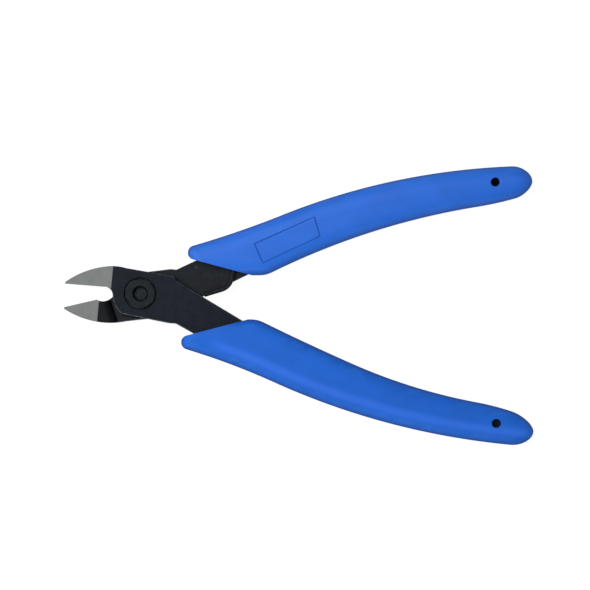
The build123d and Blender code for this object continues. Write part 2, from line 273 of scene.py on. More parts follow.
class Finish(Nodes):
    """A material under construction, its pattern space in millimetres from the pivot."""

    def __init__(self, name):
        self.material = bpy.data.materials.new(name)
        self.material.use_nodes = True
        super().__init__(self.material.node_tree)
        space = self.node("TexCoord")("Object")
        self.place = self.node(
            "Mapping",
            Vector=space,
            Location=tuple(-PIVOT_PLAN),
            Scale=(1 / MM, 1 / MM, 1 / MM),
        )("Vector")
        split = self.node("SeparateXYZ", Vector=self.place)
        self.x = split("X")
        self.y = split("Y")
        self.z = split("Z")

    def noise(self, size, detail=2.0, rough=0.5, stretch=None, turn=0.0):
        """Noise with features of about size millimetres, drawn out by stretch along a turned X."""
        space = self.place
        if stretch:
            space = self.node("Mapping", Vector=space, Rotation=(0, 0, turn))("Vector")
            space = self.node("Mapping", Vector=space, Scale=(1 / stretch, 1, 1))("Vector")
        return self.node(
            "TexNoise", Vector=space, Scale=1 / size, Detail=detail, Roughness=rough
        )("Fac")

    def bump(self, height, distance, strength):
        """The normal of a relief that rises distance millimetres where height is 1."""
        relief = self.node("Bump", Height=height, Distance=distance * MM, Strength=strength)
        return relief("Normal")

    def surface(self, **inputs):
        """Ends the material with its shader."""
        shader = self.node("BsdfPrincipled", **inputs)("BSDF")
        self.node("OutputMaterial", Surface=shader)
        return self.material


def dress(node, material):
    """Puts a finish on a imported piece."""
    mesh = frame["nodes"][node].data
    if mesh.materials:
        for index in range(len(mesh.materials)):
            mesh.materials[index] = material
    else:
        mesh.materials.append(material)


# Plan geometry


def spun(vector, angle):
    return Matrix.Rotation(angle, 2) @ vector


def polar(radius, degrees):
    angle = math.radians(degrees)
    return Vector((radius * math.cos(angle), radius * math.sin(angle)))


def arc(start, stop, heading, step=0.25):
    """Points of the arc that leaves start along heading and ends at stop, and its last heading."""
    chord = stop - start
    turn = -heading.angle_signed(chord)
    count = max(12 if abs(turn) > 0.3 else 2, math.ceil(chord.length / step))
    points = []
    for index in range(1, count + 1):
        part = turn * index / count
        share = math.sin(part) / math.sin(turn) if abs(turn) > 1e-6 else index / count
        points.append(start + spun(heading, part) * (chord.length * share))
    return points, spun(heading, 2 * turn)


def chain(points, aim):
    """Arcs through points, each tangent to the last; the first sets out at an angle in degrees."""
    heading = polar(1, aim)
    line = [points[0]]
    for start, stop in zip(points, points[1:]):
        more, heading = arc(start, stop, heading)
        line += more
    return line, heading


def rounded_end(start, aim, stop, parts=40):
    """Points of the conic that leaves start at an angle in degrees and comes upright into stop."""
    heading = polar(1, aim)
    corner = start + heading * ((stop.x - start.x) / heading.x)
    points = []
    for index in range(1, parts + 1):
        part = index / parts
        first, middle, last = (1 - part) ** 2, 2 * END_FULLNESS * part * (1 - part), part**2
        point = start * first + corner * middle + stop * last
        points.append(point / (first + middle + last))
    return points


def grip_sides(side, nose, outer, outer_aim, end, end_outer, end_palm, palm, palm_aim, heel, **_):
    """A grip's outer side and palm side, both from mouth to end, and the centre of its nose."""
    nose, end, heel = Vector(nose), Vector(end), Vector(heel)
    end_outer, end_palm = end + Vector(end_outer), end + Vector(end_palm)
    back, heading = chain([end_outer, *map(Vector, outer), nose], outer_aim + 180)
    centre = nose + spun(heading, math.radians(90 * side)) * NOSE_R
    nose_back = centre - Vector((NOSE_R, 0))
    tip, _ = arc(nose, nose_back, heading, 0.1)
    outside = (back + tip)[::-1] + rounded_end(end_outer, outer_aim, end)
    inside, heading = chain([end_palm, *map(Vector, palm), heel], palm_aim + 180)
    inside = inside[::-1]
    corner = abs(math.atan2(-heading.y, -heading.x))
    cut = HEEL_R * math.tan(corner / 2)
    while (inside[0] - heel).length < cut:
        inside.pop(0)
    before = heel - Vector((cut, 0))
    bend, _ = arc(before, inside[0], Vector((1, 0)), 0.2)
    skirt = [Vector((nose_back.x, heel.y)), before]
    return outside, skirt + bend + inside[1:] + rounded_end(end_palm, palm_aim, end), centre


def outer_arcs(nose, outer, outer_aim, end, end_outer, **_):
    """The start, centre and radius of each arc of a grip's outer side, from its end to its nose."""
    start = Vector(end) + Vector(end_outer)
    heading = polar(1, outer_aim + 180)
    for stop in (*map(Vector, outer), Vector(nose)):
        chord = stop - start
        turn = -heading.angle_signed(chord)
        radius = chord.length / (2 * math.sin(turn))
        yield start, start + spun(heading, math.pi / 2) * radius, radius
        start, heading = stop, spun(heading, 2 * turn)


def resampled(line, parts):
    """Points at these parts of a line's length."""
    xy = np.array([tuple(p) for p in line])
    run = np.concatenate([[0], np.cumsum(np.hypot(*np.diff(xy, axis=0).T))])
    return np.stack([np.interp(parts * run[-1], run, xy[:, k]) for k in (0, 1)], axis=1)


def distance_to(line, points):
    """How far each point is from a closed line in plan."""
    best = np.full(len(points), np.inf)
    for start, stop in zip(line, np.roll(line, -1, axis=0)):
        along = stop - start
        size = along @ along
        if size < 1e-12:
            continue
        part = np.clip((points - start) @ along / size, 0, 1)
        best = np.minimum(best, np.hypot(*(points - start - part[:, None] * along).T))
    return best


# Mesh building


def finished(bm, name, material=None):
    """A mesh object from a bmesh in plan millimetres, set in its place in the frame."""
    bmesh.ops.transform(
        bm,
        matrix=Matrix.Translation(PIVOT_PLAN * MM) @ Matrix.Scale(MM, 4),
        verts=bm.verts,
    )
    for face in bm.faces:
        face.smooth = True
    mesh = bpy.data.meshes.new(name)
    bm.to_mesh(mesh)
    bm.free()
    piece = bpy.data.objects.new(name, mesh)
    bpy.context.scene.collection.objects.link(piece)
    if material:
        mesh.materials.append(material)
    return piece


def edges_of(geometry):
    return [item for item in geometry if isinstance(item, bmesh.types.BMEdge)]


def verts_of(geometry):
    return [item for item in geometry if isinstance(item, bmesh.types.BMVert)]


def wire_mesh(radius, sides, step):
    """The bent wire: a circle carried along its runs by extrusion and round its bends by spin."""
    bm = bmesh.new()
    bmesh.ops.create_circle(bm, cap_ends=False, radius=radius, segments=sides)
    upright = Matrix.Rotation(WIRE_AIM, 4, "Z") @ Matrix.Rotation(math.pi / 2, 4, "Y")
    at = Vector((*WIRE_START, WIRE_LEVEL))
    bmesh.ops.transform(bm, matrix=Matrix.Translation(at) @ upright, verts=bm.verts)
    ring = list(bm.edges)
    bmesh.ops.edgeloop_fill(bm, edges=ring)
    aim = WIRE_AIM
    for kind, *values in WIRE_MOVES:
        if kind == "run":
            length = values[0]
            count = max(1, round(length / step))
            stride = Vector((math.cos(aim), math.sin(aim), 0)) * (length / count)
            for _ in range(count):
                made = bmesh.ops.extrude_edge_only(bm, edges=ring)["geom"]
                moved = set(verts_of(made))
                bmesh.ops.translate(bm, vec=stride, verts=list(moved))
                ring = [e for e in edges_of(made) if set(e.verts) <= moved]
            at = at + stride * count
        else:
            bend, turn = values[0], math.radians(values[1])
            side = math.copysign(1, turn)
            centre = at + Vector((-math.sin(aim), math.cos(aim), 0)) * bend * side
            made = bmesh.ops.spin(
                bm,
                geom=ring + list({v for e in ring for v in e.verts}),
                cent=centre,
                axis=(0, 0, 1),
                angle=turn,
                steps=max(4, round(abs(values[1]) / 7)),
            )["geom_last"]
            ring = edges_of(made)
            at = centre + Matrix.Rotation(turn, 3, "Z") @ (at - centre)
            aim += turn
    bmesh.ops.edgeloop_fill(bm, edges=ring)
    bmesh.ops.remove_doubles(bm, verts=bm.verts, dist=MERGE)
    bmesh.ops.recalc_face_normals(bm, faces=bm.faces)
    return bm


def soften_ends(bm):
    """Rounds the rims of a wire's flat ends."""
    rims = {e for f in bm.faces if len(f.verts) > 4 for e in f.edges}
    bmesh.ops.bevel(
        bm,
        geom=list(rims),
        offset=WIRE_BREAK,
        segments=3,
        profile=0.5,
        affect="EDGES",
        material=-1,
        clamp_overlap=True,
    )


def carve(piece, cutter):
    """Cuts one mesh out of a piece and leaves no modifier behind."""
    modifier = piece.modifiers.new("carve", "BOOLEAN")
    modifier.operation = "DIFFERENCE"
    modifier.solver = "EXACT"
    modifier.object = cutter
    graph = bpy.context.evaluated_depsgraph_get()
    mesh = bpy.data.meshes.new_from_object(piece.evaluated_get(graph))
    piece.modifiers.clear()
    spent = piece.data
    piece.data = mesh
    name = spent.name
    bpy.data.meshes.remove(spent)
    mesh.name = name
    spent = cutter.data
    bpy.data.objects.remove(cutter)
    bpy.data.meshes.remove(spent)


def tang_cutter(node):
    """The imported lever, merged and grown a little all round."""
    bm = bmesh.new()
    bm.from_mesh(frame["nodes"][node].data)
    bmesh.ops.remove_doubles(bm, verts=bm.verts, dist=1e-6)
    bmesh.ops.recalc_face_normals(bm, faces=bm.faces)
    bm.normal_update()
    shifts = {v: v.normal * (TANG_GAP * MM * v.calc_shell_factor()) for v in bm.verts}
    for vert, shift in shifts.items():
        vert.co += shift
    bmesh.ops.transform(
        bm,
        matrix=Matrix.Scale(1 / MM, 4) @ Matrix.Translation(-PIVOT_PLAN * MM),
        verts=bm.verts,
    )
    cutter = finished(bm, "cutter")
    stored = cutter.data.attributes.get("custom_normal")
    if stored:
        cutter.data.attributes.remove(stored)
    return cutter


def hole_cutter(plan, radius, floor):
    """A round cutter whose mouth widens softly."""
    bm = bmesh.new()
    bmesh.ops.create_circle(bm, cap_ends=True, radius=radius, segments=48)
    bmesh.ops.translate(bm, vec=(*plan, floor), verts=bm.verts)
    ring = list(bm.edges)
    centre = Matrix.Translation((-plan[0], -plan[1], 0))
    rise = HEIGHT - HOLE_RIM - floor
    profile = [(rise, radius)]
    for index in range(1, 5):
        angle = math.radians(90 * index / 4)
        flare = HOLE_RIM * (1 - math.cos(angle))
        profile.append((rise + HOLE_RIM * math.sin(angle), radius + flare))
    profile.append((rise + HOLE_RIM + 1.0, radius + HOLE_RIM))
    last_rise, last_radius = 0.0, radius
    for up, size in profile:
        made = bmesh.ops.extrude_edge_only(bm, edges=ring)["geom"]
        moved = set(verts_of(made))
        growth = size / last_radius
        bmesh.ops.translate(bm, vec=(0, 0, up - last_rise), verts=list(moved))
        bmesh.ops.scale(bm, vec=(growth, growth, 1), space=centre, verts=list(moved))
        ring = [e for e in edges_of(made) if set(e.verts) <= moved]
        last_rise, last_radius = up, size
    bmesh.ops.edgeloop_fill(bm, edges=ring)
    bmesh.ops.recalc_face_normals(bm, faces=bm.faces)
    return finished(bm, "cutter")


def line_reach(settings):
    """How far in from its panel's corners the bottom of the pressed line runs."""
    depth = settings.line_depth / MM
    return settings.line / MM / 2 * (depth + CLEAR) / depth


def frame_cutter(corners, reach, depth):
    """A four-sided ring of V section that presses the frame line."""
    bm = bmesh.new()
    face = bm.faces.new([bm.verts.new((x, y, HEIGHT + CLEAR)) for x, y in corners])
    face.normal_update()
    for _ in range(2):
        bmesh.ops.inset_region(
            bm, faces=[face], thickness=reach, use_boundary=True, use_even_offset=True
        )
    bmesh.ops.delete(bm, geom=[face], context="FACES_ONLY")
    rims = [e for e in bm.edges if e.is_boundary]
    bottom = [v for v in bm.verts if not v.is_boundary]
    bmesh.ops.translate(bm, vec=(0, 0, -CLEAR - depth), verts=bottom)
    bmesh.ops.bridge_loops(bm, edges=rims)
    bmesh.ops.recalc_face_normals(bm, faces=bm.faces)
    return finished(bm, "cutter")


def mouth_planes(side, centre, back, parts=14):
    """Planes that cut a grip aslant from the back of its mouth and carry the cut round its nose."""
    reach = back - centre
    first = spun(reach.normalized(), -side * math.acos(NOSE_R / reach.length))
    swing = -side * (math.pi - abs(math.atan2(first.y, first.x)))
    for index in range(parts + 1):
        away = spun(first, swing * index / parts)
        yield centre + away * NOSE_R, away


def sleeve_mesh(shape, settings):
    """A grip's body: a grid drawn into its outline, swelled up, mirrored, and cut at its mouth."""
    half = HEIGHT / 2
    outside, inside, centre = grip_sides(**shape)
    by_nose = np.linspace(0, EVEN_FROM, 26, endpoint=False)
    even = np.linspace(EVEN_FROM, EVEN_TO, settings.stations, endpoint=False)
    by_end = EVEN_TO + (1 - EVEN_TO) * np.sin(np.linspace(0, math.pi / 2, 24))
    stations = np.concatenate([by_nose, even, by_end])
    outer = resampled(outside, stations)
    palm = resampled(inside, stations)
    across = (1 - np.cos(np.linspace(0, math.pi, settings.ribs + 1))) / 2
    count = len(stations)
    bm = bmesh.new()
    bmesh.ops.create_grid(bm, x_segments=count - 1, y_segments=settings.ribs, size=0.5)
    bm.verts.ensure_lookup_table()
    co = np.array([tuple(v.co) for v in bm.verts])
    i = np.rint((co[:, 0] + 0.5) * (count - 1)).astype(int)
    j = np.rint((co[:, 1] + 0.5) * settings.ribs).astype(int)
    plan = outer[i] + (palm[i] - outer[i]) * across[j][:, None]
    rim = np.array([tuple(p) for p in outside + inside[::-1]])
    depth = distance_to(rim, plan)
    edge = (i == 0) | (i == count - 1) | (j == 0) | (j == settings.ribs)
    depth[edge] = 0
    swell = settings.shoulder / MM
    power = settings.fullness
    inward = np.clip(depth / swell, 0, 1)
    rise = half * (1 - (1 - inward) ** power) ** (1 / power)
    for vert, (x, y), z in zip(bm.verts, plan, rise):
        vert.co = (x, y, z)
    bmesh.ops.remove_doubles(bm, verts=bm.verts, dist=MERGE)
    bmesh.ops.mirror(bm, geom=bm.verts[:] + bm.edges[:] + bm.faces[:], axis="Z", merge_dist=MERGE)
    bmesh.ops.remove_doubles(bm, verts=bm.verts, dist=MERGE)
    bmesh.ops.translate(bm, vec=(0, 0, half), verts=bm.verts)
    for point, away in mouth_planes(shape["side"], centre, Vector(shape["mouth"])):
        cut = bmesh.ops.bisect_plane(
            bm,
            geom=bm.verts[:] + bm.edges[:] + bm.faces[:],
            dist=1e-5,
            plane_co=(*point, 0),
            plane_no=(*away, 0),
            clear_outer=True,
        )["geom_cut"]
        bmesh.ops.edgeloop_fill(bm, edges=edges_of(cut), mat_nr=1)
    bmesh.ops.recalc_face_normals(bm, faces=bm.faces)
    bmesh.ops.bevel(
        bm,
        geom=[e for e in bm.edges if len({f.material_index for f in e.link_faces}) == 2],
        offset=settings.mouth_round / MM,
        segments=4,
        profile=0.5,
        affect="EDGES",
        material=-1,
        clamp_overlap=True,
    )
    for face in bm.faces:
        face.material_index = 0
    return bm


# Settings


class StageSettings(bpy.types.PropertyGroup):
    """Camera, floor and lights."""

    lens: FloatProperty(
        name="Lens", description="Focal length of the camera", default=220.0, min=20.0,
    )
    field: FloatProperty(
        name="Field", description="Width of the view at the levers", default=0.1879,
        unit="LENGTH", subtype="DISTANCE",
    )
    aim: FloatVectorProperty(
        name="Aim", description="Point on the table in the middle of the view", size=2,
        default=(-0.00117, 0.00345), unit="LENGTH", subtype="XYZ",
    )
    sky: FloatProperty(
        name="Sky", description="Brightness of the tent overhead", default=0.3, min=0.0,
    )
    walls: FloatProperty(
        name="Walls", description="Brightness of the tent's walls beside its roof", default=0.6,
        min=0.0,
    )
    key: FloatProperty(
        name="Key light", description="Power of the large soft light", default=1.65,
        min=0.0, unit="POWER",
    )
    strip: FloatProperty(
        name="Strip light", description="Power of the low light on the near side", default=0.55,
        min=0.0, unit="POWER",
    )
    floor_glow: FloatProperty(
        name="Floor glow", description="Light given off by the table", default=0.95, min=0.0,
    )


class SteelSettings(bpy.types.PropertyGroup):
    """Blackened levers and their ground blades."""

    front: FloatVectorProperty(
        name="Front steel", description="Middle tone of the front lever's oxide", size=3,
        default=(0.0052, 0.0078, 0.0135), min=0.0, max=1.0, subtype="COLOR",
    )
    # The rear lever's oxide is painted lighter than the front's, as painted light against the shade
    # it lies in
    rear: FloatVectorProperty(
        name="Rear steel", description="Middle tone of the rear lever's oxide", size=3,
        default=(0.009, 0.0115, 0.0145), min=0.0, max=1.0, subtype="COLOR",
    )
    # Paler steel painted on broken edges, partly wear and partly painted highlight
    edge_wear_and_highlight: FloatVectorProperty(
        name="Worn edge", description="Steel that shows through on rubbed edges", size=3,
        default=(0.24, 0.26, 0.3), min=0.0, max=1.0, subtype="COLOR",
    )
    ground: FloatVectorProperty(
        name="Ground face", description="Bare ground steel of the blades", size=3,
        default=(0.15, 0.16, 0.156), min=0.0, max=1.0, subtype="COLOR",
    )


class PivotSettings(bpy.types.PropertyGroup):
    """Screw, washer and nut."""

    screw: FloatVectorProperty(
        name="Screw", description="Blackened screw and nut", size=3,
        default=(0.009, 0.013, 0.0166), min=0.0, max=1.0, subtype="COLOR",
    )
    washer: FloatVectorProperty(
        name="Washer", description="Plain steel of the thrust washer", size=3,
        default=(0.35, 0.35, 0.36), min=0.0, max=1.0, subtype="COLOR",
    )


class SpringSettings(bpy.types.PropertyGroup):
    """Return spring."""

    wire: FloatProperty(
        name="Wire", description="Diameter of the wire", default=0.0015,
        unit="LENGTH", subtype="DISTANCE",
    )
    sides: IntProperty(name="Sides", description="Sides of the round wire", default=20, min=8)
    tone: FloatVectorProperty(
        name="Wire tone", description="Dark drawn wire", size=3,
        default=(0.011, 0.012, 0.014), min=0.0, max=1.0, subtype="COLOR",
    )


class GripSettings(bpy.types.PropertyGroup):
    """Moulded grips."""

    shoulder: FloatProperty(
        name="Shoulder", description="How far in from the edge the surface still falls away",
        default=0.0062, unit="LENGTH", subtype="DISTANCE",
    )
    fullness: FloatProperty(
        name="Fullness", description="Squareness of the rounded section", default=2.9, min=1.5,
    )
    mouth_round: FloatProperty(
        name="Mouth rim", description="Rounding of the mouth's rim", default=0.0009,
        unit="LENGTH", subtype="DISTANCE",
    )
    stations: IntProperty(name="Stations", description="Sections along a grip", default=120, min=20)
    ribs: IntProperty(name="Ribs", description="Faces across a grip", default=36, min=8)
    hole: FloatProperty(
        name="Blind hole", description="Diameter of the hole near the end", default=0.0028,
        unit="LENGTH", subtype="DISTANCE",
    )
    line: FloatProperty(
        name="Frame line", description="Width of the pressed frame line", default=0.00046,
        unit="LENGTH", subtype="DISTANCE",
    )
    line_depth: FloatProperty(
        name="Frame depth", description="Depth of the pressed frame line", default=0.0002,
        unit="LENGTH", subtype="DISTANCE",
    )
    blue: FloatVectorProperty(
        name="Grip blue", description="Colour of the moulded grips", size=3,
        default=(0.0123, 0.137, 0.667), min=0.0, max=1.0, subtype="COLOR",
    )
    # A paler blue painted as a sheen band beside the grips' outer sides
    painted_sheen: FloatVectorProperty(
        name="Rubbed blue", description="Colour where a hand has rubbed the grips", size=3,
        default=(0.034, 0.168, 0.785), min=0.0, max=1.0, subtype="COLOR",
    )


# Finishes


def flush_height(finish):
    """Height of the ground flush plane over a point, and how far past its start the point is."""
    past = finish.x * math.cos(FLUSH_ANGLE) + finish.y * math.sin(FLUSH_ANGLE) - FLUSH_START
    return FRONT_TOP - past * FLUSH_SLOPE, past


def bevel_mask(finish, edge, side):
    """1 on the bevel that falls at 45 degrees from a cutting edge."""
    normal = edge - math.pi / 2 * side
    off = finish.x * math.cos(normal) + finish.y * math.sin(normal) - EDGE_OFFSET * side
    along = finish.x * math.cos(edge) + finish.y * math.sin(edge)
    turn = edge - FLUSH_ANGLE
    past = along * math.cos(turn) + EDGE_OFFSET * math.sin(turn) - FLUSH_START
    level = FRONT_TOP - past * FLUSH_SLOPE
    return (abs(finish.z - level + off * side) < BEVEL_NEAR) * (along > EDGE_START)


def broken_edge(finish, top):
    """1 on the broken edge of a top face."""
    low, high = BROKEN_EDGE
    return (finish.z > top - low) * (finish.z < top - high)


def steel_finish(name, settings, black, top, edge, side, scale=0.0):
    """Blackened steel, mottled, its broken edges painted paler as wear and as a painted highlight,
    with bare ground blade faces.

    Scale is how much darker the oxide is painted above top, on the raised joggle where the sheet is
    pressed upward: painted shade.
    """
    finish = Finish(name)
    level, past = flush_height(finish)
    flush = (abs(finish.z - level) < FLUSH_NEAR) * (past > 0)
    ground = finish.math("MAXIMUM", flush, bevel_mask(finish, edge, side))
    cloud = finish.noise(2.6, 3.0, 0.55)
    fine = finish.noise(0.28, 3.0, 0.6)
    specks = finish.step(finish.noise(0.55, 1.0, 0.4), 0.62, 0.74)
    tone = Vector(black)
    oxide = finish.mix(finish.step(cloud, 0.3, 0.7), tuple(tone * 0.5), tuple(tone * 1.45))
    oxide = finish.mix(finish.step(fine, 0.4, 0.7) * 0.6, oxide, tuple(tone * 2.1))
    oxide = finish.mix(specks * 0.4, oxide, tuple(tone * 0.3))
    if scale:
        # Painted shade: oxide above top, on the raised joggle, is painted darker.
        joggle_shade = finish.step(finish.z, top + 0.2, top + 1.4) * scale
        oxide = finish.mix(joggle_shade, oxide, tuple(tone * 0.3))
    # Wear and painted highlight: broken edges are painted paler, mottled, and weaker on the +Y
    # side, away from the strip light.
    wear_and_highlight = broken_edge(finish, top) * (1 - ground)
    far_from_strip = finish.step(finish.y, -3.5, 2.5)
    wear_and_highlight = wear_and_highlight * finish.step(finish.noise(1.4, 3.0, 0.6), 0.3, 0.65) * (1 - far_from_strip * 0.6)
    oxide = finish.mix(wear_and_highlight * 0.7, oxide, tuple(settings.edge_wear_and_highlight))
    lines = finish.noise(0.09, 2.0, 0.6, stretch=22.0, turn=math.pi / 2 - edge)
    bright = Vector(settings.ground)
    bare = finish.mix(finish.step(lines, 0.3, 0.7), tuple(bright * 0.88), tuple(bright * 1.1))
    bare = finish.mix(finish.step(cloud, 0.35, 0.75) * 0.5, bare, tuple(bright * 0.8))
    rough = finish.step(cloud, 0.2, 0.8) * 0.12 + 0.42 + fine * 0.1
    relief = fine * (1 - ground) * 0.8 + cloud * 0.5 + lines * ground * 0.3
    return finish.surface(
        Base_Color=finish.mix(ground, oxide, bare),
        Metallic=ground * 0.15 + wear_and_highlight * 0.4,
        Specular_IOR_Level=0.1,
        Roughness=rough * (1 - ground) + (0.38 + lines * 0.12) * ground,
        Normal=finish.bump(relief, 0.03, 0.7),
    )


def screw_finish(settings):
    """Blackened screw and nut, turned on a lathe, with the socket's walls painted nearly black as
    shade and specks on its floor.
    """
    finish = Finish("black_screw")
    tone = Vector(settings.screw)
    radius = finish.math("SQRT", finish.x * finish.x + finish.y * finish.y)
    turning = finish.node(
        "TexWave",
        {"wave_type": "RINGS", "rings_direction": "Z"},
        Vector=finish.place,
        Scale=3.4,
        Distortion=0.6,
        Detail=1.0,
    )("Fac")
    cloud = finish.noise(1.8, 3.0, 0.55)
    colour = finish.mix(finish.step(cloud, 0.3, 0.7), tuple(tone * 0.75), tuple(tone * 1.25))
    sunk = (finish.z < HEAD_TOP - 0.02) * (finish.z > HEAD_TOP - WALL_DEPTH)
    # Painted shade: the socket's walls are painted nearly black.
    walls = (radius < MOUTH_R) * (radius > FLOOR_R) * sunk
    colour = finish.mix(walls * 0.95, colour, tuple(tone * 0.1))
    floor = (radius < FLOOR_R) * (finish.z > HEAD_TOP - FLOOR_DEPTH)
    specks = finish.noise(0.5, 3.0, 0.6)
    colour = finish.mix(floor * finish.step(specks, 0.42, 0.68), colour, tuple(tone * 2.6))
    rim = broken_edge(finish, HEAD_TOP) * (radius > HEAD_RIM_R)
    colour = finish.mix(rim * finish.step(cloud, 0.3, 0.65) * 0.6, colour, (0.08, 0.083, 0.09))
    return finish.surface(
        Base_Color=colour,
        Metallic=rim * 0.4,
        Specular_IOR_Level=0.09,
        Roughness=0.4 + cloud * 0.18 + walls * 0.4,
        Normal=finish.bump(turning * 0.4 + cloud, 0.01, 0.4),
    )


def washer_finish(settings):
    """Plain rolled steel with an oil-darkened face."""
    finish = Finish("washer_steel")
    tone = Vector(settings.washer)
    lines = finish.noise(0.12, 2.0, 0.6, stretch=14.0, turn=0.4)
    cloud = finish.noise(1.2)
    colour = finish.mix(finish.step(cloud, 0.3, 0.7), tuple(tone * 0.7), tuple(tone * 1.1))
    return finish.surface(
        Base_Color=colour,
        Metallic=1.0,
        Roughness=0.3 + lines * 0.2,
        Normal=finish.bump(lines, 0.005, 0.4),
    )


def spring_finish(settings):
    """Dark drawn wire with die lines and a painted highlight along its crown."""
    finish = Finish("spring_steel")
    tone = Vector(settings.tone)
    lines = finish.noise(0.1, 2.0, 0.6, stretch=16.0, turn=-0.36)
    cloud = finish.noise(1.6, 3.0, 0.6)
    colour = finish.mix(finish.step(cloud, 0.3, 0.7), tuple(tone * 0.45), tuple(tone * 1.1))
    # Painted highlight: the top of the wire is painted paler, mottled.
    crown_highlight = finish.step(finish.z, WIRE_LEVEL + 0.5, WIRE_LEVEL + 0.75)
    crown_highlight = crown_highlight * finish.step(cloud, 0.4, 0.7)
    colour = finish.mix(crown_highlight * 0.5, colour, tuple(tone * 2.2))
    return finish.surface(
        Base_Color=colour,
        Metallic=crown_highlight * 0.25,
        Specular_IOR_Level=0.12,
        Roughness=0.42 + lines * 0.2,
        Normal=finish.bump(lines, 0.008, 0.5),
    )


def inward(finish, shape):
    """How far a point lies in from a grip's outer side."""
    reach = None
    for start, centre, radius in outer_arcs(**shape):
        dx = finish.x - centre.x
        dy = finish.y - centre.y
        away = finish.math("SQRT", dx * dx + dy * dy)
        depth = (abs(radius) - away) * math.copysign(1, radius * shape["side"])
        past = finish.x < start.x
        reach = depth if reach is None else reach * (1 - past) + depth * past
    return reach


def pressed_line(finish, corners, reach, width):
    """1 in the bottom of the line that frames a panel."""
    corners = [Vector(corner) for corner in corners]
    off = None
    for start, stop in zip(corners, corners[1:] + corners[:1]):
        out = spun((stop - start).normalized(), math.pi / 2)
        beyond = finish.x * out.x + finish.y * out.y - out.dot(start)
        off = beyond if off is None else finish.math("MAXIMUM", off, beyond)
    bottom = 1 - finish.step(abs(off + reach), width * 0.25, width * 0.65)
    return bottom * (finish.z > HEIGHT / 2)


def grip_finish(name, settings, shape):
    """Satin grip with a fine eroded texture, painted paler in a sheen band beside its outer side,
    with a painted highlight on its shoulders and painted shade on its flanks and in its pressed
    line.
    """
    finish = Finish(name)
    # Painted light level: the upper grip's blue is painted a little lighter and the lower grip's
    # darker, as light falls on them.
    tone = Vector(settings.blue) * shape["painted_light"]
    depth = inward(finish, shape)
    # Painted sheen: a paler band 2 to 6.6 mm in from the outer side, from about 20 mm past the
    # pivot, stands in for light caught on the rounding.
    band = finish.step(depth, 2.0, 4.0) * (1 - finish.step(depth, 4.4, 6.6))
    painted_sheen = band * finish.step(finish.x, 20.0, 28.0) * shape["painted_sheen"]
    cloud = finish.noise(9.0, 3.0, 0.5)
    flow = finish.noise(3.0, 2.0, 0.5, stretch=4.0, turn=-0.3)
    grain = finish.noise(0.16, 2.0, 0.6)
    colour = finish.mix(finish.step(cloud, 0.3, 0.7), tuple(tone * 0.94), tuple(tone * 1.05))
    colour = finish.mix(finish.step(flow, 0.4, 0.8) * 0.3, colour, tuple(tone * 1.08))
    colour = finish.mix(finish.step(grain, 0.5, 0.9) * 0.25, colour, tuple(tone * 0.85))
    up = abs(finish.node("SeparateXYZ", Vector=finish.node("NewGeometry")("Normal"))("Z"))
    # Painted highlight: surfaces part way between flat and upright are painted a paler blue where
    # the shoulders catch the light.
    shoulder = finish.step(up, 0.45, 0.75) * (1 - finish.step(up, 0.9, 0.985))
    colour = finish.mix(shoulder * finish.step(flow, 0.35, 0.7) * 0.2, colour, (0.05, 0.22, 0.8))
    # Painted shade: surfaces that face sideways are painted darker, to half the blue on upright
    # sides.
    shaded_flank = 1 - finish.step(up, 0.1, 0.95)
    colour = finish.mix(shaded_flank * 0.9, colour, tuple(tone * 0.5))
    # Painted sheen band.
    colour = finish.mix(painted_sheen * (0.8 + cloud * 0.4), colour, tuple(Vector(settings.painted_sheen)))
    if shape["panel"]:
        # Painted shade: the bottom of the pressed line is painted darker, as shade in the groove.
        groove_shade = pressed_line(finish, shape["panel"], line_reach(settings), settings.line / MM)
        colour = finish.mix(groove_shade * (cloud * 0.5 + 0.2), colour, tuple(tone * 0.35))
    return finish.surface(
        Base_Color=colour,
        Roughness=0.5 + cloud * 0.06 + grain * 0.08 - shoulder * 0.06 + shaded_flank * 0.35,
        Specular_IOR_Level=shape["gloss"],
        Normal=finish.bump(grain * 0.5 + flow * 0.5, 0.02, 0.45),
    )


# Operators


